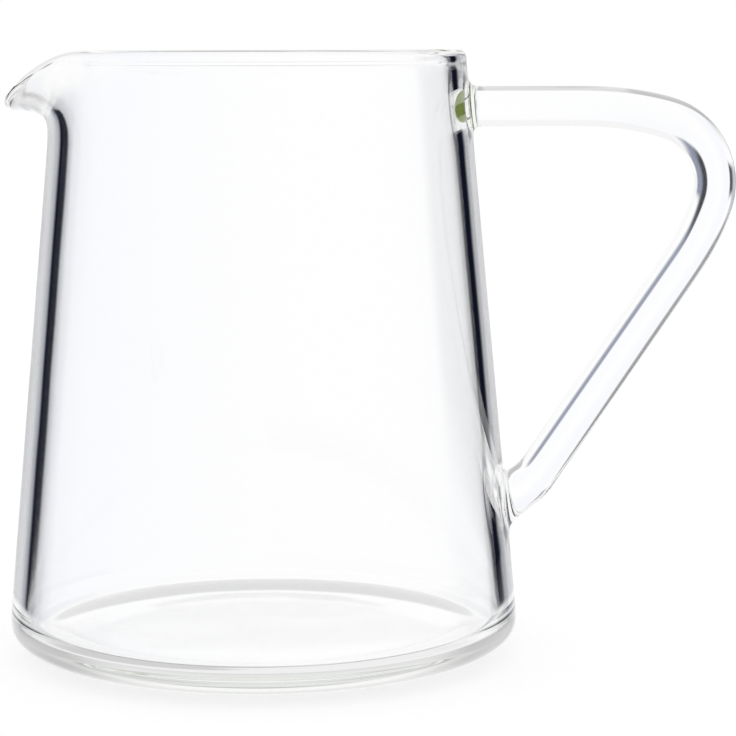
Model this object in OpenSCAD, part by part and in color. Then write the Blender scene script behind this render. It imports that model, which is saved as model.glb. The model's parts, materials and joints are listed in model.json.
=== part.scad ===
// Jug of blown clear glass with a formed pouring lip and a solid rod handle.
// Millimetres. Z is up and the foot rests on Z = 0.
// The handle is on +X, the lip on -X, and the jug is the same on both sides of Y = 0.

/* [Body] */
// Height from the resting face to the rim
height = 115; // [95:0.5:150]
// Outer diameter at the rim
rim_diameter = 77.2; // [66:0.2:90]
// Outer diameter that the straight wall would have at the resting face
base_diameter = 98.5; // [88:0.2:112]
// Thickness of the blown wall
wall = 2.9; // [2.2:0.1:4]
// Thickness of the glass under the contents
floor_thickness = 5; // [3.5:0.1:7.5]
// Diameter of the flat that rests on the table
resting_diameter = 68; // [56:0.5:76]
// Height over which the rounded heel turns into the wall
heel_height = 6.5; // [4.5:0.1:9]
// Radius between the wall and the floor, inside
inner_corner = 4; // [2:0.1:7]

/* [Pouring lip] */
// How far the lip is drawn out beyond the rim
lip_reach = 10; // [6:0.1:13]
// How far the tip lies below the rim
lip_drop = 8.5; // [5:0.1:10]
// Height of wall that the lip is drawn from
lip_depth = 20; // [17:0.5:28]
// Half of the angle that the lip takes up, seen from above
lip_half_angle = 34; // [26:0.5:42]

/* [Handle] */
// Diameter of the solid rod along the grip
rod_diameter = 7.8; // [6:0.1:9]
// Depth of the upper arm's centre line below the rim
arm_drop = 10.7; // [9:0.1:20]
// Distance from the jug's axis to the outermost point of the handle
handle_reach = 90.3; // [80:0.2:104]
// Height of the lower weld above the table
weld_height = 29; // [22:0.1:40]
// Radius of the tight bend, on the rod's centre line
bend_radius = 13; // [9:0.2:18]
// How far the fused glass spreads around each weld
weld_spread = 1.9; // [1.2:0.1:2.6]

/* [Hidden] */
$fn = 96;
clear_glass = [0.88, 0.92, 0.91];

// The rod is a little thinner along the arm, and thicker where it was bent and where it lands
rod = rod_diameter / 2;
arm_rod = 0.98 * rod;
bend_rod = 1.05 * rod;
weld_rod = 1.07 * rod;
taper = (base_diameter - rim_diameter) / 2 / height;
half_wall = wall / 2;
arm_z = height - arm_drop;
lip_z = height - lip_depth;

// Outer radius of the straight wall at a height
function outer_at(z) = base_diameter / 2 - taper * z;
// Radius half way through the wall
function middle_at(z) = outer_at(z) - half_wall;

// A curve through four control points
function curve(a, b, c, d, t) =
    a * pow(1 - t, 3) + 3 * b * t * pow(1 - t, 2) + 3 * c * t * t * (1 - t) + d * pow(t, 3);

// Body: heel, tapered wall, rounded rim, inner corner and floor in one section

foot = resting_diameter / 2;
heel_top = [outer_at(heel_height), heel_height];
heel = [for (i = [0 : 9]) curve([foot, 0], [foot + 0.62 * (heel_top.x - foot), 0],
        [outer_at(0.45 * heel_height), 0.45 * heel_height], heel_top, i / 9)];
rim_z = height - half_wall;
rim = [for (a = [0 : 15 : 180]) [middle_at(rim_z) + half_wall * cos(a), rim_z + half_wall * sin(a)]];
corner_z = floor_thickness + inner_corner;
corner = [for (a = [0 : 15 : 90])
        [outer_at(corner_z) - wall - inner_corner * (1 - cos(a)), corner_z - inner_corner * sin(a)]];

module body() {
    rotate_extrude() polygon(concat([[0, 0]], heel, rim, corner, [[0, floor_thickness]]));
}

// Sector of the rim that is drawn out into the lip
sector = lip_half_angle + 1.5;

module lip_sector() {
    r = base_diameter;
    translate([0, 0, lip_z]) linear_extrude(height)
        polygon([[0, 0], [-r * cos(sector), -r * sin(sector)], [-r * 1.6, 0], [-r * cos(sector), r * sin(sector)]]);
}

// Pouring lip: the wall's section, bent outward and down, most at the middle

// The lip's skin lies this far within the wall's where it comes out of it
lip_inset = 0.07;
lip_wall = wall - 2 * lip_inset;
function pull(a) = abs(a) < lip_half_angle ? pow(cos(90 * a / lip_half_angle), 2) : 0;
function lip_mid(s, v) = let (z = lip_z + (lip_depth - half_wall) * v, u = max(v, 0))
    [middle_at(z) + lip_reach * s * pow(u, 3.2), z - lip_drop * pow(s, 1.6) * pow(u, 2.2)];
function lip_tangent(s, v) = let (d = lip_mid(s, v + 0.005) - lip_mid(s, v - 0.005)) d / norm(d);
function lip_side(s, v, side) = let (t = lip_tangent(s, v)) lip_mid(s, v) + side * lip_wall / 2 * [t[1], -t[0]];
lip_steps = [-0.06, 0.14, 0.28, 0.4, 0.5, 0.59, 0.68, 0.77, 0.86, 0.94];
function lip_section(s) = concat(
    [for (v = lip_steps) lip_side(s, v, 1)],
    [for (b = [0 : 30 : 180]) let (t = lip_tangent(s, 1))
        lip_mid(s, 1) + lip_wall / 2 * (cos(b) * [t[1], -t[0]] + sin(b) * t)],
    [for (i = [len(lip_steps) - 1 : -1 : 0]) lip_side(s, lip_steps[i], -1)]);
function lip_ring(a) = [for (p = lip_section(pull(a))) [-p[0] * cos(a), -p[0] * sin(a), p[1]]];

module lip() {
    count = 30;
    last = sector + 1;
    loft([for (i = [0 : count]) lip_ring(last - 2 * last * i / count)], true);
}

// Skin over closed rings of points, ended by strips or by fans to a middle point
module loft(rings, strips, first = [0, 0, 0], last = [0, 0, 0]) {
    n = len(rings);
    m = len(rings[0]);
    top = (n - 1) * m;
    sides = [for (i = [0 : n - 2], j = [0 : m - 1], k = [0, 1])
            let (a = i * m + j, b = i * m + (j + 1) % m)
            k == 0 ? [a, a + m, b + m] : [a, b + m, b]];
    half = floor(m / 2);
    ends = strips
        ? [for (j = [0 : half - 1], k = [0, 1], e = [0, 1])
            let (a = j, b = j + 1, c = m - 2 - j, d = m - 1 - j,
                f = k == 0 ? [a, b, c] : [a, c, d])
            if (!(k == 0 && b == c)) e == 0 ? f : [top + f[2], top + f[1], top + f[0]]]
        : [for (j = [0 : m - 1], e = [0, 1]) let (b = (j + 1) % m)
            e == 0 ? [n * m, j, b] : [n * m + 1, top + b, top + j]];
    polyhedron(points = concat([for (r = rings, p = r) p], strips ? [] : [first, last]),
        faces = concat(sides, ends), convexity = 6);
}

// Handle: an arm, an easy turn, the tight bend, an easy turn, the long grip and a turn into the lower weld.
// A direction is the angle below +X in the plane Y = 0, and a place is [x, z].

easy_out = [53, 16];
easy_in = [46, 15];
landing = [10, 18];
// Straight length before the lower weld
tail = 0.85 * rod + weld_spread;
function heading(a) = [cos(a), -sin(a)];
function turn(r, a, b) = r * [sin(b) - sin(a), cos(b) - cos(a)];
upper_weld = [outer_at(arm_z), arm_z];
lower_weld = [outer_at(weld_height), weld_height];
arm_end = [max(handle_reach - bend_rod - easy_out[0] * sin(easy_out[1]) - bend_radius * (1 - sin(easy_out[1])),
        upper_weld.x + weld_spread + 1), arm_z];
bend_start = arm_end + turn(easy_out[0], 0, easy_out[1]);
function bend_end(t) = bend_start + turn(bend_radius, easy_out[1], t - easy_in[1]);
function grip_start(t) = bend_end(t) + turn(easy_in[0], t - easy_in[1], t);
function grip_end(t) = lower_weld - tail * heading(t + landing[1]) - turn(landing[0], t, t + landing[1]);
// The grip's direction is the one that brings it to the lower weld
function miss(t) = let (d = grip_end(t) - grip_start(t), h = heading(t)) h[0] * d[1] - h[1] * d[0];
function aim(lo, hi, n) = n == 0 ? (lo + hi) / 2
    : let (m = (lo + hi) / 2) miss(lo) * miss(m) <= 0 ? aim(lo, m, n - 1) : aim(m, hi, n - 1);
grip = aim(95, 165, 40);
arrival = grip + landing[1];

// Places along the rod, each [place, direction, radius]
function bend_of(from, r, a, b, count, r0, r1) = [for (i = [0 : count])
        let (t = i / count, c = a + (b - a) * t) [from + turn(r, a, c), c, r0 + (r1 - r0) * (1 - cos(180 * t)) / 2]];
half_bend = (easy_out[1] + grip - easy_in[1]) / 2;
stations = concat(
    bend_of(arm_end, easy_out[0], 0, easy_out[1], 3, arm_rod, (arm_rod + bend_rod) / 2),
    [for (i = [1 : 7]) bend_of(bend_start, bend_radius, easy_out[1], half_bend, 7, (arm_rod + bend_rod) / 2, bend_rod)[i]],
    [for (i = [1 : 7]) bend_of(bend_start + turn(bend_radius, easy_out[1], half_bend), bend_radius, half_bend,
            grip - easy_in[1], 7, bend_rod, (bend_rod + rod) / 2)[i]],
    [for (i = [1 : 3]) bend_of(bend_end(grip), easy_in[0], grip - easy_in[1], grip, 3, (bend_rod + rod) / 2, rod)[i]],
    bend_of(grip_end(grip), landing[0], grip, arrival, 4, rod, weld_rod));

sides = 28;
function side(a) = [sin(a), 0, cos(a)];
function across(a, j) = cos(360 * j / sides) * side(a) - sin(360 * j / sides) * [0, 1, 0];
function rod_ring(s) = [for (j = [0 : sides - 1]) [s[0][0], 0, s[0][1]] + s[2] * across(s[1], j)];

// Weld: at each end the rod's skin turns out into the wall all the way round.
// The place is on the wall, a is the rod's direction there, and way is 1 where that runs into the wall.

// Distance along a line from a point outside the wall to the wall
function to_wall(p, d) = let (
    w = outer_at(p[2]),
    a = d[0] * d[0] + d[1] * d[1] - taper * taper * d[2] * d[2],
    b = 2 * (p[0] * d[0] + p[1] * d[1] + taper * d[2] * w),
    c = p[0] * p[0] + p[1] * p[1] - w * w) (-b - sqrt(max(b * b - 4 * a * c, 0))) / (2 * a);
function set_radius(p, r) = let (k = r / norm([p[0], p[1]])) [p[0] * k, p[1] * k, p[2]];
function weld_ring(place, a, way, r, t) = let (
    d = way * [cos(a), 0, -sin(a)],
    axis = [place[0], 0, place[1]])
    [for (j = [0 : sides - 1]) let (
        from = axis - 12 * d + r * across(a, j),
        hit = from + to_wall(from, d) * d,
        start = hit - weld_spread * d,
        rest = hit + weld_spread * (hit - axis) / norm(hit - axis),
        end = set_radius(rest, outer_at(rest[2]) - 0.25))
        pow(1 - t, 2) * start + 2 * t * (1 - t) * hit + t * t * end];
function weld_core(place) = [outer_at(place[1]) - half_wall, 0, place[1]];

module rod_handle() {
    rows = [0, 0.22, 0.42, 0.62, 0.82, 1];
    n = len(rows);
    loft(concat(
            [for (i = [n - 1 : -1 : 0]) weld_ring(upper_weld, 0, -1, arm_rod, rows[i])],
            [for (s = stations) rod_ring(s)],
            [for (t = rows) weld_ring(lower_weld, arrival, 1, weld_rod, t)]),
        false, weld_core(upper_weld), weld_core(lower_weld));
}

module jug() {
    color(clear_glass) union() {
        difference() {
            body();
            lip_sector();
        }
        lip();
        rod_handle();
    }
}

jug();
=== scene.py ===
# %% [markdown]
# A glass jug on white paper
# The jug is borosilicate glass, worked at the lamp: a tapered body, a lip drawn out of the rim and a solid
# rod fused on as the handle. It is one piece of clear glass, so all that the eye gets of it comes from its
# shape, and from what the glass bends into view of the studio round it.

# %% Load the frame
import json
from math import atan, atan2, cos, degrees, hypot, pi, radians, sin, sqrt

import bmesh
import bpy
from mathutils import Euler, Matrix, Vector

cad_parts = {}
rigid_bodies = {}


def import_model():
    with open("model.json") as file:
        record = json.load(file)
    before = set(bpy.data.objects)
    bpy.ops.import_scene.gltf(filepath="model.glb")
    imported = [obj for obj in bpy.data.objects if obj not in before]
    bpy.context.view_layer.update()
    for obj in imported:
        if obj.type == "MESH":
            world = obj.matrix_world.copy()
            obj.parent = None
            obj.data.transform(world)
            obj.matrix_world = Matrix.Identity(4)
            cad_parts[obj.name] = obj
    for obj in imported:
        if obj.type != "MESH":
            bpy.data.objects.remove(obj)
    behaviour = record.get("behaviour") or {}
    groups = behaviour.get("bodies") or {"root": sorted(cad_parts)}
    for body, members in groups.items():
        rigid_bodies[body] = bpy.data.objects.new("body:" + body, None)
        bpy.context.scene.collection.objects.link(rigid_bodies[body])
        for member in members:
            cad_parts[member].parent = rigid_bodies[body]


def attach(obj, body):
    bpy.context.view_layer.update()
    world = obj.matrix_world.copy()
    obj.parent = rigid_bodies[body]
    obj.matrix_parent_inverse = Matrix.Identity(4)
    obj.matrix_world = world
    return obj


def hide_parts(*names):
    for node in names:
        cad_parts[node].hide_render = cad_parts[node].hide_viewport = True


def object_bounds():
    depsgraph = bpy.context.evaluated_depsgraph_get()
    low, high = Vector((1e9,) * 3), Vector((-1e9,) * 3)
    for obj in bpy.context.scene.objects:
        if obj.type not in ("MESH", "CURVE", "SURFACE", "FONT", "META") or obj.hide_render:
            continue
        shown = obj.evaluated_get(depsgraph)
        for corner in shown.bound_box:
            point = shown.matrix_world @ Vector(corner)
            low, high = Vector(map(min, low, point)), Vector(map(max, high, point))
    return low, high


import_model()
cad_low, cad_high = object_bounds()
mm = 0.001
print("CAD box in mm:", [round(v / mm, 2) for v in (*cad_low, *cad_high)])

# %% [markdown]
# Camera
# The photograph is taken with a long lens from a little above the rim: the mouth shows as a thin ellipse and
# the sides hardly converge. The place comes from matching the outlines of the rim, the foot and the handle,
# and the small roll is the photographer's. The horizon lies above the picture's middle, which says how far
# the camera looks down.

# %% Camera
photo_side = 736
focal_in_pixels = 2643
horizon_in_pixels = 318.5
sensor = 36
camera_place = Vector((20.13, -502.0, 115.0)) * mm
looks_down = atan(horizon_in_pixels / focal_in_pixels)
roll = -0.0022

bpy.ops.object.camera_add(location=camera_place)
camera = bpy.context.object
camera.name = "camera"
level = Euler((pi / 2 - looks_down, 0, 0)).to_matrix()
camera.rotation_euler = (level @ Matrix.Rotation(roll, 3, "Z")).to_euler()
camera.data.sensor_width = sensor
camera.data.lens = sensor * focal_in_pixels / photo_side
camera.data.clip_start = 0.05
camera.data.clip_end = 60
bpy.context.scene.camera = camera
print("lens", round(camera.data.lens, 2), "mm, looking down by", round(degrees(looks_down), 2), "degrees")

# %% [markdown]
# Sizes
# The frame gives the jug's height, the handle's reach and the tip of the lip, and the glass stays a few
# hundredths of a millimetre inside them. The other sizes are the maker's choices: the wall, the thick floor,
# the rod, and where the rod is fused on.

# %% Sizes
handle_inset = 0.04 * mm
tip_inset = 0.05 * mm
height = cad_high.z
handle_reach = cad_high.x - handle_inset
lip_tip = -cad_low.x - tip_inset
rim_radius = 38.6 * mm
base_radius = 49.25 * mm
wall = 2.9 * mm
floor_thickness = 5 * mm
resting_radius = 34 * mm
heel_height = 6.5 * mm
inner_corner = 4 * mm
lip_depth = 20 * mm
lip_drop = 8.5 * mm
lip_half_angle = 34
rod = 3.9 * mm
arm_z = height - 10.7 * mm
weld_z = 29 * mm
weld_spread = 1.9 * mm
bend_radius = 13 * mm

half_wall = wall / 2
rim_z = height - half_wall
taper = (base_radius - rim_radius) / height


def outer_at(z):
    """Outer radius of the straight wall at a height."""
    return base_radius - taper * z


lip_reach = lip_tip - outer_at(rim_z)
print("outer radius at the rim:", round(outer_at(height) / mm, 2), "mm")
print("the lip reaches", round(lip_reach / mm, 2), "mm out")

# %% [markdown]
# Tools for the bench
# Every shape is made from a ring of points that is extruded, moved and scaled, as a maker gathers and draws
# out glass. The cage is then smoothed by a subdivision surface. That surface cuts the corners of its cage,
# so a ring has to be a little larger than the circle that it stands for, by a share that depends on its
# count of points.

# %% Helpers for modelling
def swell(steps):
    """How much larger a ring of that many points is than the circle that subdivision makes of it."""
    return 3 / (2 + cos(2 * pi / steps))


def edit(piece):
    """Goes into edit mode on one piece alone, with its points as what is picked."""
    bpy.ops.object.select_all(action="DESELECT")
    piece.select_set(True)
    bpy.context.view_layer.objects.active = piece
    bpy.ops.object.mode_set(mode="EDIT")
    bpy.ops.mesh.select_mode(type="VERT")


def pick(piece, kind, wanted):
    """Selects the points, edges or faces for which wanted(item) is true, and says how many there are."""
    bpy.ops.mesh.select_all(action="DESELECT")
    bpy.ops.mesh.select_mode(type={"verts": "VERT", "edges": "EDGE", "faces": "FACE"}[kind])
    shape = bmesh.from_edit_mesh(piece.data)
    chosen = [item for item in getattr(shape, kind) if wanted(item)]
    for item in chosen:
        item.select_set(True)
    shape.select_flush(True)
    bmesh.update_edit_mesh(piece.data)
    return len(chosen)


def shift_point(piece, index, place):
    """Moves one point of the cage to a place."""
    shape = bmesh.from_edit_mesh(piece.data)
    shape.verts.ensure_lookup_table()
    point = shape.verts[index]
    point.select_set(True)
    bpy.ops.transform.translate(value=place - point.co)
    shape = bmesh.from_edit_mesh(piece.data)
    shape.verts.ensure_lookup_table()
    shape.verts[index].select_set(False)


for points in (8, 20, 64):
    print("a ring of", points, "points is made", round(100 * swell(points) - 100, 2), "percent larger")

# %% [markdown]
# Body: rows of points
# Seen in section, the jug is one line: along the floor inside, round the corner, up the wall, over the
# fire-polished rim, down outside, round the heel and in under the foot. Its rows of points lie close
# together where the glass curves, and where the lip and the handle need them.

# %% Rows of the wall
columns = 64
rim_steps = 8
weld_row = 2.67 * mm
foot_weld_row = 3.1 * mm
arm_rows = [arm_z + weld_row * i for i in range(-3, 4)]
foot_rows = [weld_z + foot_weld_row * i for i in range(-3, 4)]
outer_heights = [9.5 * mm, 13 * mm, 16.4 * mm, *foot_rows, 42 * mm, 47.5 * mm, 54 * mm, 61 * mm, 68 * mm,
                 75 * mm, 81.5 * mm, 87 * mm, 92 * mm, *arm_rows]
inner_heights = [12 * mm, 16 * mm, 22 * mm, 30 * mm, 39 * mm, 48 * mm, 57 * mm, 66 * mm, 74 * mm, 81 * mm,
                 87 * mm, 92 * mm, *arm_rows]
print("rows up the wall:", len(outer_heights), "outside and", len(inner_heights), "inside")

# %% [markdown]
# Body: the pull of the lip
# The lip is the same line, bent outwards and down. Its middle is bent most, and the bend fades to nothing
# round the rim, so a place on the wall is a function of how strongly it is pulled. High powers keep the wall
# straight for most of its height and curl it only near the rim, as glass does where the flame softened it.

# %% Places on the wall
lip_start = height - lip_depth
reach_curl = 3.2
drop_curl = 2.2
drop_narrowing = 1.6
probe = 0.005


def wall_place(z, side, pull):
    """Radius, height and direction on the wall. Side is 1 outside, -1 inside, and pull is the lip's share."""
    def middle(v):
        u = max(v, 0)
        at = lip_start + (rim_z - lip_start) * v
        radius = outer_at(at) - half_wall + lip_reach * pull * u ** reach_curl
        return Vector((radius, at - lip_drop * pull ** drop_narrowing * u ** drop_curl))
    v = (z - lip_start) / (rim_z - lip_start)
    along = (middle(v + probe) - middle(v - probe)).normalized()
    return middle(v) + side * half_wall * Vector((along.y, -along.x)), along


print("tip of the lip, radius and height in mm:", [round(v / mm, 2) for v in wall_place(rim_z, 0, 1)[0]])

# %% [markdown]
# Body: the whole section
# The inner corner and the rim are arcs. The heel is a curve with two handles, one that bulges out from the
# wall and one that tucks in to the resting face, because a blown foot is pressed flat while it is soft and
# has no true radius.

# %% Section of the wall
floor_rings = (5, 12, 20, 28, 35)
foot_rings = (28, 20, 12, 5)
corner_turns = (0, 30, 60, 90)
corner_swell = 1.03
heel_bulge = 0.45
heel_tuck = 0.62
heel_stops = (0, 0.18, 0.36, 0.54, 0.72, 0.88, 1)


def section(pull):
    """The whole line as a list of radius and height."""
    floor_z = floor_thickness
    corner_z = floor_z + inner_corner
    inner_wall = outer_at(corner_z) - wall
    line = [Vector((r * mm, floor_z)) for r in floor_rings]
    for turn_angle in corner_turns:
        a = radians(turn_angle)
        bulge = inner_corner * (corner_swell if 0 < turn_angle < 90 else 1)
        line.append(Vector((inner_wall - inner_corner + bulge * sin(a), corner_z - bulge * cos(a))))
    line += [wall_place(z, -1, pull)[0] for z in inner_heights]
    top, along = wall_place(rim_z, 0, pull)
    out = Vector((along.y, -along.x))
    for i in range(rim_steps // 2 + 1):
        a = pi - 2 * pi * i / rim_steps
        line.append(top + half_wall * swell(rim_steps) * (cos(a) * out + sin(a) * along))
    line += [wall_place(z, 1, pull)[0] for z in reversed(outer_heights)]
    heel_top = Vector((outer_at(heel_height), heel_height))
    heel_out = Vector((outer_at(heel_bulge * heel_height), heel_bulge * heel_height))
    heel_in = Vector((resting_radius + heel_tuck * (heel_top.x - resting_radius), 0))
    foot = Vector((resting_radius, 0))
    for t in heel_stops:
        s = 1 - t
        line.append(heel_top * s ** 3 + 3 * heel_out * t * s ** 2 + 3 * heel_in * t * t * s + foot * t ** 3)
    line += [Vector((r * mm, 0)) for r in foot_rings]
    return line


plain = section(0)
print("rows in the section:", len(plain))

# %% [markdown]
# Body: rings
# The body starts as a small ring in the middle of the floor. Each further ring is extruded from the last,
# lifted and scaled, and the two small openings left at the ends are closed with one face each.

# %% Body cage
swollen = swell(columns)
first = plain[0]
bpy.ops.mesh.primitive_circle_add(vertices=columns, radius=first.x * swollen, location=(0, 0, first.y))
jug = bpy.context.object
jug.name = "glass_jug"
bpy.ops.object.transform_apply(location=True, rotation=False, scale=False)
edit(jug)
bpy.ops.mesh.select_all(action="SELECT")
for last, place in zip(plain, plain[1:]):
    bpy.ops.mesh.extrude_region_move(TRANSFORM_OT_translate={"value": (0, 0, place.y - last.y)})
    bpy.ops.transform.resize(value=(place.x / last.x, place.x / last.x, 1))
bpy.ops.mesh.edge_face_add()
pick(jug, "edges", lambda edge: edge.is_boundary)
bpy.ops.mesh.edge_face_add()
print("body cage:", len(bmesh.from_edit_mesh(jug.data).verts), "points")

# %% [markdown]
# Body: the pouring lip
# The glassblower heats one side of the rim and draws it out and down with a rod. Here the columns of points
# on that side are moved, each to the section with its own share of the pull: one in the middle, and less by
# a cosine towards both sides, so that the rim flows into the lip without a corner.

# %% Lip
least_move = 0.002 * mm


def near(place):
    """The index of the cage's point at a place."""
    shape = bmesh.from_edit_mesh(jug.data)
    return min(shape.verts, key=lambda point: (point.co - place).length_squared).index


moved = 0
bpy.ops.mesh.select_mode(type="VERT")
bpy.ops.mesh.select_all(action="DESELECT")
for column in range(columns):
    angle = 360 * column / columns
    off_lip = abs(angle - 180)
    if off_lip >= lip_half_angle:
        continue
    pulled = section(cos(radians(90 * off_lip / lip_half_angle)) ** 2)
    outwards = Vector((cos(radians(angle)), sin(radians(angle)), 0)) * swollen
    for now, then in zip(plain, pulled):
        if (then - now).length > least_move:
            old_place = outwards * now.x + Vector((0, 0, now.y))
            new_place = outwards * then.x + Vector((0, 0, then.y))
            shift_point(jug, near(old_place), new_place)
            moved += 1
print("points moved for the lip:", moved)

# %% [markdown]
# Handle: the line of the rod
# The handle is one solid rod. It leaves the wall level, eases down, bends tightly, closes into a long
# straight grip and curls under to land on the wall. The turns are arcs, and the rod is a little stouter
# where the bend and the weld have gathered glass.

# %% Arm and bend
easing_radius = 53 * mm
easing_turn = radians(16)
closing_radius = 46 * mm
closing_turn = radians(15)
landing_radius = 10 * mm
landing_turn = radians(18)
arm_rod = 0.98 * rod
bend_rod = 1.05 * rod
weld_rod = 1.07 * rod
tail = 0.85 * rod + weld_spread


def heading(a):
    """Direction in the handle's plane, x and z, at an angle below level."""
    return Vector((cos(a), -sin(a)))


def turn(radius, a, b):
    """The step that an arc makes while the direction turns from a to b."""
    return radius * Vector((sin(b) - sin(a), cos(b) - cos(a)))


upper_weld = Vector((outer_at(arm_z), arm_z))
lower_weld = Vector((outer_at(weld_z), weld_z))
easing_reach = easing_radius * sin(easing_turn)
bend_reach = bend_radius * (1 - sin(easing_turn))
arm_end = Vector((handle_reach - bend_rod - easing_reach - bend_reach, arm_z))
bend_start = arm_end + turn(easing_radius, 0, easing_turn)
print("level arm:", round((arm_end.x - upper_weld.x) / mm, 1), "mm from the wall")

# %% [markdown]
# Handle: the slope of the grip
# Only one slope takes the straight grip from the bend to the lower weld. A steeper one passes it on one
# side and a flatter one on the other, so the slope is found by halving the interval between two such slopes.

# %% Grip
def grip_ends(slope):
    """Where the straight grip starts and ends if it has that slope."""
    bent = slope - closing_turn
    start = bend_start + turn(bend_radius, easing_turn, bent) + turn(closing_radius, bent, slope)
    landed = slope + landing_turn
    end = lower_weld - tail * heading(landed) - turn(landing_radius, slope, landed)
    return start, end


def misses(slope):
    """How far the grip passes its end, on one side or the other."""
    start, end = grip_ends(slope)
    return heading(slope).cross(end - start)


slope = radians(95)
other_slope = radians(165)
halvings = 40
for halving in range(halvings):
    half_way = (slope + other_slope) / 2
    if misses(slope) * misses(half_way) <= 0:
        other_slope = half_way
    else:
        slope = half_way
arrival = slope + landing_turn
grip_start, grip_end = grip_ends(slope)
print("grip slopes", round(degrees(slope), 2), "degrees")
print("grip is", round((grip_end - grip_start).length / mm, 1), "mm long")

# %% [markdown]
# Handle: stops along the rod
# The rod is a ring of points that is extruded from stop to stop. A stop is a place on the line, the
# direction there and the rod's radius. The stops lie closest in the tight bend.

# %% Stops
rod_columns = 20
rod_swollen = swell(rod_columns)
clear_of_weld = 1.7 * mm


def straight_stops(start, end, a, r0, r1, count):
    """Stops along a straight stretch, without its start."""
    return [(start.lerp(end, i / count), a, r0 + (r1 - r0) * i / count) for i in range(1, count + 1)]


def arc_stops(start, radius, a, b, r0, r1, count):
    """Stops along an arc, without its start. The rod's radius changes gently, by a cosine."""
    stops = []
    for i in range(1, count + 1):
        c = a + (b - a) * i / count
        stops.append((start + turn(radius, a, c), c, r0 + (r1 - r0) * (1 - cos(pi * i / count)) / 2))
    return stops


first_stop = Vector((upper_weld.x + weld_spread + clear_of_weld, arm_z))
middle_rod = (arm_rod + bend_rod) / 2
end_rod = (bend_rod + rod) / 2
bend_stop = slope - closing_turn
bend_end = bend_start + turn(bend_radius, easing_turn, bend_stop)
stops = [(first_stop, 0, arm_rod)]
stops += straight_stops(first_stop, arm_end, 0, arm_rod, arm_rod, count=4)
stops += arc_stops(arm_end, easing_radius, 0, easing_turn, arm_rod, middle_rod, count=3)
stops += arc_stops(bend_start, bend_radius, easing_turn, bend_stop, middle_rod, end_rod, count=9)
stops += arc_stops(bend_end, closing_radius, bend_stop, slope, end_rod, rod, count=3)
stops += straight_stops(grip_start, grip_end, slope, rod, rod, count=9)
stops += arc_stops(grip_end, landing_radius, slope, arrival, rod, weld_rod, count=2)
print("stops along the rod:", len(stops))

# %% [markdown]
# Handle: the rod
# The first ring stands at the end by the upper weld. Each extrusion is moved to the next stop, turned with
# the line and scaled to the rod's radius there.

# %% Rod cage
def rod_point(stop, j):
    """Point j of the ring round the rod at a stop."""
    place, a, radius = stop
    b = 2 * pi * j / rod_columns
    up = Vector((sin(a), 0, cos(a)))
    return Vector((place.x, 0, place.y)) + radius * rod_swollen * (cos(b) * up - sin(b) * Vector((0, 1, 0)))


bpy.ops.object.mode_set(mode="OBJECT")
bpy.ops.object.select_all(action="DESELECT")
bpy.ops.mesh.primitive_circle_add(vertices=rod_columns, radius=arm_rod * rod_swollen,
                                  rotation=(0, pi / 2, 0), location=(first_stop.x, 0, arm_z))
handle = bpy.context.object
handle.name = "rod_handle"
bpy.ops.object.transform_apply(location=True, rotation=True, scale=False)
edit(handle)
bpy.ops.mesh.select_all(action="SELECT")
for last, stop in zip(stops, stops[1:]):
    move = stop[0] - last[0]
    centre = Vector((stop[0].x, 0, stop[0].y))
    bpy.ops.mesh.extrude_region_move(TRANSFORM_OT_translate={"value": (move.x, 0, move.y)})
    if stop[1] != last[1]:
        bpy.ops.transform.rotate(value=last[1] - stop[1], orient_axis="Y", center_override=centre)
    if stop[2] != last[2]:
        bpy.ops.transform.resize(value=(stop[2] / last[2],) * 3, center_override=centre)
made = bmesh.from_edit_mesh(handle.data)
last_point = rod_point(stops[-1], 0)
off = min((point.co - last_point).length for point in made.verts)
print("rod cage:", len(made.verts), "points; last ring off its stop by", round(off / mm, 4), "mm")

# %% [markdown]
# Handle: where the rod meets the wall
# At each end the skin of the rod flares out into the wall, as fused glass does while it is soft. Each point
# of the ring runs along the rod until it meets the wall, and from there a short curve carries it out along
# it.

# %% Flare
run_up = 12 * mm


def to_wall(place, way):
    """How far a point outside the wall is from it, along a direction."""
    width = outer_at(place.z)
    a = way.x ** 2 + way.y ** 2 - (taper * way.z) ** 2
    b = 2 * (place.x * way.x + place.y * way.y + taper * way.z * width)
    c = place.x ** 2 + place.y ** 2 - width ** 2
    return (-b - sqrt(max(b * b - 4 * a * c, 0))) / (2 * a)


def flare_point(weld, a, way, radius, j, t):
    """Point j of the flare at the end of the rod: t goes from 0 on the rod to 1 on the wall."""
    along = way * Vector((cos(a), 0, -sin(a)))
    axis = Vector((weld.x, 0, weld.y))
    start = rod_point((weld, a, radius), j) - run_up * along
    meets = start + to_wall(start, along) * along
    rests = meets + weld_spread * (meets - axis).normalized()
    wide = outer_at(rests.z) * swollen / hypot(rests.x, rests.y)
    rests = Vector((rests.x * wide, rests.y * wide, rests.z))
    return (meets - weld_spread * along) * (1 - t) ** 2 + 2 * t * (1 - t) * meets + t * t * rests


top_of_flare = flare_point(upper_weld, 0, -1, arm_rod, 0, 1)
print("upper weld spreads to", round((top_of_flare.z - arm_z) / mm, 2), "mm above the rod's middle")

# %% [markdown]
# Handle: the fused ends
# The last ring of the rod is extruded in place five times, and each time its points are set down one by one
# on the next ring of the flare.

# %% Fused ends
flare_stops = (0, 0.25, 0.5, 0.75, 1)


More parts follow.
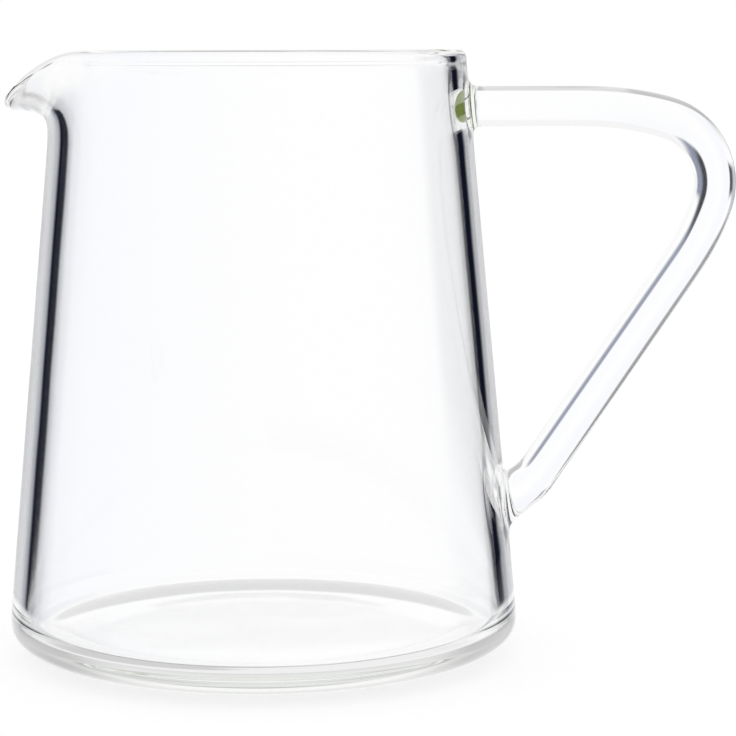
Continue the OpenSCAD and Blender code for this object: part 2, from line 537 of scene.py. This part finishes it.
def fuse(stop, weld, a, way, radius):
    """Extrudes the ring at a stop, each time onto the next ring of the flare."""
    corners = [rod_point(stop, j) for j in range(rod_columns)]
    for t in flare_stops:
        shape = bmesh.from_edit_mesh(handle.data)
        ring = [min(shape.verts, key=lambda v: (v.co - place).length_squared).index for place in corners]
        pick(handle, "verts", lambda v: v.index in ring)
        bpy.ops.mesh.extrude_region_move(TRANSFORM_OT_translate={"value": (0, 0, 0)})
        shape = bmesh.from_edit_mesh(handle.data)
        fresh = [v for v in shape.verts if v.select]
        fresh = [min(fresh, key=lambda v: (v.co - place).length_squared).index for place in corners]
        corners = [flare_point(weld, a, way, radius, j, t) for j in range(rod_columns)]
        bpy.ops.mesh.select_all(action="DESELECT")
        for index, place in zip(fresh, corners):
            shift_point(handle, index, place)


fuse(stops[0], upper_weld, 0, -1, arm_rod)
fuse(stops[-1], lower_weld, arrival, 1, weld_rod)
bpy.ops.object.mode_set(mode="OBJECT")
print("handle cage:", len(handle.data.vertices), "points")

# %% [markdown]
# One piece of glass: opening the wall
# Fused glass has no seam. So a patch of the wall is opened at each weld, with as many edges round it as the
# rod has.

# %% Open the wall
patch_columns = 4


def open_patch(rows):
    """Takes out the wall's outer faces on the handle's side, between the first and last of some rows."""
    def in_patch(face):
        middle = face.calc_center_median()
        outside = hypot(middle.x, middle.y) > outer_at(middle.z) - half_wall
        turned = abs(atan2(middle.y, middle.x)) < patch_columns * pi / columns
        return outside and turned and rows[0] < middle.z < rows[-1]
    found = pick(jug, "faces", in_patch)
    bpy.ops.mesh.delete(type="FACE")
    return found


edit(jug)
print("faces opened:", open_patch(arm_rows), open_patch(foot_rows))
bpy.ops.object.mode_set(mode="OBJECT")

# %% [markdown]
# One piece of glass: bridging and smoothing
# The rod's last ring is bridged to the opening, upper weld first, and subdivision then makes one smooth skin
# of all of it. After two levels the rings of the wall are round to within a hundredth of a millimetre.

# %% Bridge and smooth
smooth_levels = 2
bpy.ops.object.select_all(action="DESELECT")
handle.select_set(True)
jug.select_set(True)
bpy.context.view_layer.objects.active = jug
bpy.ops.object.join()
edit(jug)
between_welds = (arm_z + weld_z) / 2
for upper in (True, False):
    def round_opening(edge):
        return edge.is_boundary and (edge.verts[0].co.z > between_welds) == upper
    print("edges to bridge:", pick(jug, "edges", round_opening))
    bpy.ops.mesh.bridge_edge_loops()
bpy.ops.mesh.select_all(action="SELECT")
bpy.ops.mesh.normals_make_consistent(inside=False)
bpy.ops.object.mode_set(mode="OBJECT")
smooth = jug.modifiers.new("Subdivision", "SUBSURF")
smooth.levels = smooth_levels
smooth.render_levels = smooth_levels
bpy.ops.object.modifier_apply(modifier=smooth.name)
bpy.ops.object.shade_smooth()

measured = bmesh.new()
measured.from_mesh(jug.data)
open_edges = sum(not edge.is_manifold for edge in measured.edges)
print("glass jug:", len(measured.faces) * 2, "triangles,", open_edges, "open edges, volume",
      round(measured.calc_volume(signed=True) / mm ** 3), "mm3")
measured.free()

# %% [markdown]
# Colours and nodes
# Colours are written as sRGB hex, as in a paint program, while Blender reckons in linear light, so one
# function turns them. A second adds a node with its settings and links, and a third starts a material.

# %% Helpers for materials
def linear(hex_colour):
    """A colour written as sRGB hex, turned linear."""
    parts = [int(hex_colour[i:i + 2], 16) / 255 for i in (1, 3, 5)]
    return tuple(c / 12.92 if c <= 0.04045 else ((c + 0.055) / 1.055) ** 2.4 for c in parts) + (1,)


def add_node(tree, kind, settings=None, **links):
    """Adds a node, sets its properties and links or sets its inputs, which are named with _ for a space."""
    node = tree.nodes.new(kind)
    for name, value in (settings or {}).items():
        setattr(node, name, value)
    for name, value in links.items():
        socket = node.inputs[int(name[1:])] if name[1:].isdigit() else node.inputs[name.replace("_", " ")]
        if isinstance(value, bpy.types.NodeSocket):
            tree.links.new(value, socket)
        else:
            socket.default_value = value
    return node


def new_material(name):
    """An empty material and its node tree."""
    material = bpy.data.materials.new(name)
    material.use_nodes = True
    material.node_tree.nodes.clear()
    return material, material.node_tree


print("grey #808080 is", round(linear("#808080")[0], 3), "in linear light")

# %% [markdown]
# Glass: the skin
# This is borosilicate glass, blown and drawn in a flame. The flame leaves its skin perfectly smooth, so what
# is behind it stays sharp and every edge on it gleams. Yet a blown wall is never quite even: slow waves, a
# few hundredths of a millimetre high and some centimetres long, make the lines behind it sway a little.
# The skin is a Principled shader with full transmission, no roughness and the index of borosilicate, and
# the waves are a soft noise in its bump.

# %% Skin of the glass
borosilicate_index = 1.473
wave_length = 24 * mm
wave_height = 0.05 * mm

glass, tree = new_material("lampworked_borosilicate_glass")
coordinates = add_node(tree, "ShaderNodeTexCoord")
waves = add_node(tree, "ShaderNodeTexNoise", Vector=coordinates.outputs["Object"], Scale=1 / wave_length,
                 Detail=1.0)
wavy = add_node(tree, "ShaderNodeBump", Height=waves.outputs[0], Distance=wave_height)
skin = add_node(tree, "ShaderNodeBsdfPrincipled", Base_Color=linear("#ffffff"), Roughness=0.0,
                IOR=borosilicate_index, Transmission_Weight=1.0, Normal=wavy.outputs["Normal"])
mirrors = ((borosilicate_index - 1) / (borosilicate_index + 1)) ** 2
print("seen head on, the skin mirrors", round(100 * mirrors, 1), "percent of the light")

# %% [markdown]
# Glass: painted olive at the seam
# Where the arm is fused on, the glass folds over itself. The olive green there is painted light: light
# that the fold catches is let out and coloured olive. The seam is a flat ellipsoid round the upper weld. To
# measure it, each place on the glass is stretched or squeezed along its axes, and then a plain distance from
# the seam's middle tells where the seam fades.

# %% Painted olive at the seam
seam_stretch = (3.0, 0.35, 1.3)
seam_depth = 0.3 * wall
seam_middle = (upper_weld.x - seam_depth, 0, upper_weld.y)
seam_heart = 4.0 * mm
seam_edge = 6.5 * mm

stretched = add_node(tree, "ShaderNodeVectorMath", {"operation": "MULTIPLY"},
                     _0=coordinates.outputs["Object"], _1=seam_stretch)
to_seam = add_node(tree, "ShaderNodeVectorMath", {"operation": "DISTANCE"}, _0=stretched.outputs["Vector"],
                   _1=[stretch * part for stretch, part in zip(seam_stretch, seam_middle)])
in_seam = add_node(tree, "ShaderNodeMapRange", {"interpolation_type": "SMOOTHSTEP"},
                   Value=to_seam.outputs["Value"], From_Min=seam_edge, From_Max=seam_heart)
# Painted olive: light let out in the seam takes this colour in place of the light caught in the fold.
painted_olive = add_node(tree, "ShaderNodeMix", {"data_type": "RGBA"}, _0=in_seam.outputs["Result"],
                _6=linear("#ffffff"), _7=linear("#76853f"))
print("seam: half sizes", [round(seam_edge / stretch / mm, 1) for stretch in seam_stretch], "mm")

# %% [markdown]
# Glass: light caught inside
# In the foot, the rod and the welds, light is mirrored again and again before it gets out. A renderer gives
# up after a few mirrorings and would leave black specks there. So a ray that was mirrored four times goes
# straight out: Light Path's Glossy Depth counts, and a Mix Shader swaps the skin for a Transparent one. In
# the seam the light is let out after one mirroring, coloured with the painted olive.
# Through a wall of 3 mm this glass has no colour. Along the rim or across the foot light passes through
# centimetres of it, and a weak absorption in the volume leaves it a little grey-green there.

# %% Light caught inside
let_out_above = 3.5
let_out_above_in_seam = 0.5
absorption = 3.0

path = add_node(tree, "ShaderNodeLightPath")
allowed = add_node(tree, "ShaderNodeMapRange", Value=in_seam.outputs["Result"], To_Min=let_out_above,
                   To_Max=let_out_above_in_seam)
caught = add_node(tree, "ShaderNodeMath", {"operation": "GREATER_THAN"}, _0=path.outputs["Glossy Depth"],
                  _1=allowed.outputs["Result"])
# The Transparent shader lets caught light out, with the painted olive in the seam and white elsewhere.
leak = add_node(tree, "ShaderNodeBsdfTransparent", Color=painted_olive.outputs[2])
either = add_node(tree, "ShaderNodeMixShader", _0=caught.outputs[0], _1=skin.outputs["BSDF"],
                  _2=leak.outputs["BSDF"])
tinge = add_node(tree, "ShaderNodeVolumeAbsorption", Color=linear("#e7ede2"), Density=absorption)
add_node(tree, "ShaderNodeOutputMaterial", Surface=either.outputs["Shader"], Volume=tinge.outputs["Volume"])
print("glass material:", len(tree.nodes), "nodes")

# %% [markdown]
# The jug in the frame
# The glass piece stands for the CAD's solid, which is hidden, rides on the one body there is and takes the
# glass material.

# %% Jug in the frame
jug.data.materials.clear()
jug.data.materials.append(glass)
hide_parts("jug")
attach(jug, "root")
print("materials on the jug:", [material.name for material in jug.data.materials])

# %% [markdown]
# Studio: the paper
# The jug stands on matt white paper, a wide disc a hair below its foot. Paper that is lit from all round is
# white all over, and an object on it takes some of that light away. Most of the white is therefore a plain
# glow, and the rest is a diffuse grey that answers to the light, so that a faint shadow stays round the
# foot. Rays out of the glass pass the paper by and see the tent, which has its own tones for what lies
# below.

# %% Paper
paper_radius = 6
paper_gap = 0.2 * mm
paper_glow = 0.79
bpy.ops.object.select_all(action="DESELECT")
bpy.ops.mesh.primitive_circle_add(vertices=64, radius=paper_radius, fill_type="NGON",
                                  location=(0, 0, -paper_gap))
paper = bpy.context.object
paper.name = "paper"
paper.visible_transmission = False
paper.visible_glossy = False
matte, tree = new_material("white_paper")
diffuse = add_node(tree, "ShaderNodeBsdfPrincipled", Base_Color=linear("#898989"), Roughness=1.0,
                   Specular_IOR_Level=0.0, Emission_Color=linear("#ffffff"), Emission_Strength=paper_glow)
add_node(tree, "ShaderNodeOutputMaterial", Surface=diffuse.outputs["BSDF"])
paper.data.materials.append(matte)
print("paper: white", round(paper_glow + linear("#898989")[0], 2), "where nothing shades it")

# %% [markdown]
# Studio: the tent
# Clear glass has no colour to speak of: its lines are the dark things beside the camera's view, bent into
# sight where the wall is seen edge on. Photographers call it bright field. A white cloth fills the picture,
# and dark cards stand left and right of it, just outside. The cards could be planes on stands, but a round
# tent is simpler: it is white, and painted dark where a card would hang. Only rays out of the glass see it.

# %% Tent
tent_radius = 4.0
points_round = 288
points_up = 144
bpy.ops.mesh.primitive_uv_sphere_add(segments=points_round, ring_count=points_up, radius=tent_radius,
                                     location=(0, 0, height / 2))
tent = bpy.context.object
tent.name = "tent"
tent.visible_camera = False
tent.visible_diffuse = False
tent.visible_shadow = False
directions = [(degrees(atan2(point.co.z, hypot(point.co.x, point.co.y))),
               degrees(atan2(point.co.x, point.co.y))) for point in tent.data.vertices]
print("tent:", len(directions), "points,", 360 / points_round, "degrees apart")

# %% [markdown]
# Studio: four layers of paint
# A ray that was mirrored in the wall has turned by another angle than one that passed straight through, so
# one set of cards can't serve both. The tent has a layer of paint for each of four kinds of ray: straight
# through, mirrored once, mirrored once and then across the jug, and guided, which means mirrored more than
# once on its way along the rod or round the foot. A layer is a colour attribute, and it starts white.

# %% Layers
straight = "seen_straight"
once = "seen_once_mirrored"
guided = "seen_guided"
across = "seen_crossed"
every = (straight, once, guided, across)
mirrored = (once, guided, across)
layers = {layer: [Vector((1, 1, 1))] * len(directions) for layer in every}
print("layers:", *layers)

# %% [markdown]
# Studio: hanging a card
# A card is a patch of directions as the jug sees them. Its rises are degrees above level, and its flanks
# are degrees from straight behind the jug towards the right. Its share is how much of the white it takes
# away. Its edges fade over some degrees, because a real card stands near, and each part of the glass sees
# its edge in another place.

# %% Helpers for cards
all_round = (-181, 181)


def ease(value, low, high):
    """Rises softly from 0 to 1 while a value goes from low to high."""
    t = min(max((value - low) / (high - low), 0), 1)
    return t * t * (3 - 2 * t)


def between(value, ends, fade_in, fade_out):
    """1 between two ends and 0 outside them, with its own soft edge at each end."""
    rising = ease(value, ends[0] - fade_in / 2, ends[0] + fade_in / 2)
    falling = ease(value, ends[1] - fade_out / 2, ends[1] + fade_out / 2)
    return rising * (1 - falling)


def hang_card(kinds, tone, share, rises, soft, flanks=all_round):
    """Paints a card on some layers. Its soft edges are given below, above, left and right."""
    below, above, left, right = soft
    for index, (rise, flank) in enumerate(directions):
        if rises[0] - below < rise < rises[1] + above:
            covered = share * between(rise, rises, below, above) * between(flank, flanks, left, right)
            if covered > 0:
                for layer in kinds:
                    layers[layer][index] = layers[layer][index].lerp(tone, covered)


print("half way up a soft edge a card covers", ease(0.5, 0, 1), "of its share")

# %% [markdown]
# Studio: ceiling and table
# What lies high above and far below the jug is a little greyer than the cloth behind it. It gives the rim,
# the thick base and the edges of the rod their pale greys, by which they stand off the white.

# %% Greys above and below
grey = Vector(linear("#101418")[:3])
table = (-80, -38)
hang_card(every, grey, 0.08, rises=(30, 91), soft=(8, 1, 1, 1))
hang_card(mirrored, grey, 0.13, rises=(-91, -33), soft=(1, 14, 1, 1))
hang_card((straight,), grey, 0.30, rises=table, soft=(8, 5, 1, 1))
hang_card((straight,), grey, 0.30, rises=table, soft=(8, 5, 8, 2), flanks=(-60, 3))
hang_card((straight,), grey, 0.30, rises=table, soft=(8, 5, 2, 8), flanks=(9, 60))
hang_card(every, grey, 0.28, rises=(-80, -26), soft=(10, 20, 1, 14), flanks=(-181, -24))
print("darkest straight below:", round(min(colour.x for colour in layers[straight]), 2))

# %% [markdown]
# Studio: dusk beside the cards
# Round the cards the room is dim and blue. It shows as the smoky blue that fades out beside each dark line,
# and a trace of it lies over the cloth itself.

# %% Dusk and haze
dusk = Vector(linear("#1a3a70")[:3])
haze = Vector(linear("#2a7cff")[:3])
for kinds, share in (((straight,), 0.78), (mirrored, 0.15)):
    hang_card(kinds, dusk, share, rises=(-10, 22), soft=(5, 16, 5, 8), flanks=(24, 51))
hang_card(every, dusk, 0.55, rises=(-12, 34), soft=(6, 8, 6, 8), flanks=(-64, -36))
for kinds, share in (((straight,), 0.72), (mirrored, 0.20)):
    hang_card(kinds, dusk, share, rises=(-26, -9), soft=(8, 4, 3, 8), flanks=(21, 30))
hang_card((straight,), grey, 0.70, rises=(15, 26), soft=(5, 5, 5, 5), flanks=(-52, -26))
hang_card((straight,), haze, 0.05, rises=(-30, 34), soft=(8, 8, 2, 12), flanks=(-24, -6))
hang_card((straight,), haze, 0.02, rises=(-30, 34), soft=(8, 8, 8, 2), flanks=(6, 24))
hang_card((once,), dusk, 0.16, rises=(-12, 6), soft=(6, 8, 10, 2), flanks=(-80, 8))
hang_card((once,), dusk, 0.14, rises=(-12, 6), soft=(6, 8, 2, 10), flanks=(8, 80))
bluest = min(layers[straight], key=lambda colour: colour.x)
print("bluest of the straight layer:", [round(part, 2) for part in bluest])

# %% [markdown]
# Studio: streaks in the rod
# Light that was guided along the rod or round the foot can come from anywhere, also from high up. Faint
# greys there keep the handle and the thick base from turning plain white.

# %% Greys for guided light
hang_card((guided,), grey, 0.20, rises=(20, 40), soft=(6, 6, 1, 1))
hang_card((guided,), grey, 0.26, rises=(58, 72), soft=(6, 6, 1, 1))
hang_card((guided,), grey, 0.32, rises=(12, 42), soft=(6, 6, 8, 8), flanks=(7, 34))
hang_card((guided,), grey, 0.32, rises=(12, 42), soft=(6, 6, 8, 8), flanks=(-36, -13))
print("darkest guided so far:", round(min(colour.x for colour in layers[guided]), 2))

# %% [markdown]
# Studio: the navy cards
# These draw the jug. The straight layer has one card on each side of the cloth, narrow and crisp towards
# it, and these two are the dark lines down the walls. The mirrored layers carry the lines on where the wall
# is seen most edge on, and give the solid rod a dark line of its own.

# %% Navy cards
navy = Vector(linear("#080c1e")[:3])
hang_card((across,), navy, 0.86, rises=(-14, 2), soft=(4, 3, 8, 12), flanks=(-62, 13))
hang_card((guided,), navy, 0.97, rises=(-16, 12), soft=(4, 4, 8, 8), flanks=(-62, 90))
hang_card((straight,), navy, 1.00, rises=(-10.5, 2.5), soft=(3, 5, 8, 2.4), flanks=(-37, -23.5))
hang_card((once,), navy, 1.00, rises=(-10.5, 7), soft=(3, 5, 5, 4), flanks=(-57, -39))
hang_card((straight,), navy, 1.00, rises=(-11, 9), soft=(4, 8, 3, 8), flanks=(22.3, 33))
hang_card((once,), navy, 1.00, rises=(-11, 12), soft=(4, 6, 6, 4), flanks=(29.5, 48))
for layer, colours in layers.items():
    painted = tent.data.color_attributes.new(layer, "FLOAT_COLOR", "POINT")
    painted.data.foreach_set("color", [part for colour in colours for part in (*colour, 1)])
    print(layer, "has", sum(colour.x < 0.5 for colour in colours), "dark points")

# %% [markdown]
# Studio: which ray sees which layer
# Light Path knows how often a ray was mirrored, its Glossy Depth, and how often it went through the skin,
# its Transmission Depth. A ray that was mirrored once and went through the skin more than twice has crossed
# the jug. Each test is one Math node, and Mix nodes choose the layer. The cloth glows at a strength of 1,
# which is plain white, as the world is.

# %% Cloth of the tent
cloth, tree = new_material("white_tent_with_navy_cards")
path = add_node(tree, "ShaderNodeLightPath")
is_more = {"operation": "GREATER_THAN"}
mirrored_once = add_node(tree, "ShaderNodeMath", is_more, _0=path.outputs["Glossy Depth"], _1=0.5)
mirrored_twice = add_node(tree, "ShaderNodeMath", is_more, _0=path.outputs["Glossy Depth"], _1=1.5)
crossed = add_node(tree, "ShaderNodeMath", is_more, _0=path.outputs["Transmission Depth"], _1=2.5)
views = {layer: add_node(tree, "ShaderNodeAttribute", {"attribute_name": layer}) for layer in every}
one_turn = add_node(tree, "ShaderNodeMix", {"data_type": "RGBA"}, _0=crossed.outputs[0],
                    _6=views[once].outputs["Color"], _7=views[across].outputs["Color"])
turned = add_node(tree, "ShaderNodeMix", {"data_type": "RGBA"}, _0=mirrored_twice.outputs[0],
                  _6=one_turn.outputs[2], _7=views[guided].outputs["Color"])
seen = add_node(tree, "ShaderNodeMix", {"data_type": "RGBA"}, _0=mirrored_once.outputs[0],
                _6=views[straight].outputs["Color"], _7=turned.outputs[2])
glow = add_node(tree, "ShaderNodeEmission", Color=seen.outputs[2], Strength=1.0)
add_node(tree, "ShaderNodeOutputMaterial", Surface=glow.outputs["Emission"])
tent.data.materials.append(cloth)
print("cloth material:", len(tree.nodes), "nodes")

# %% [markdown]
# Studio: the tent goes with the camera
# On a turntable the jug turns and the cloth, the cards and the camera stay, so the dark lines stay at its
# sides. Here the camera goes round the jug instead, and the tent goes with it as its child.

# %% Tent on the camera
bpy.context.view_layer.update()
bpy.ops.object.select_all(action="DESELECT")
tent.select_set(True)
camera.select_set(True)
bpy.context.view_layer.objects.active = camera
bpy.ops.object.parent_set(type="OBJECT", keep_transform=True)
print("children of the camera:", [child.name for child in camera.children])

# %% [markdown]
# World
# The room is plain white at a strength of 1. It lights the paper evenly, stands as the white background and
# lets a colour render as it is written, with the Standard view transform.

# %% World
world = bpy.data.worlds.new("white_studio")
bpy.context.scene.world = world
world.use_nodes = True
world.node_tree.nodes.clear()
light = add_node(world.node_tree, "ShaderNodeBackground", Color=(1, 1, 1, 1), Strength=1.0)
add_node(world.node_tree, "ShaderNodeOutputWorld", Surface=light.outputs["Background"])
bpy.context.scene.view_settings.view_transform = "Standard"
print("view transform:", bpy.context.scene.view_settings.view_transform)

# %% [markdown]
# Finish
# The CAD's box is printed again. The box of the glass has to stay inside the CAD's box.

# %% Finish
print("CAD box", [round(v / mm, 2) for v in (*cad_low, *cad_high)])
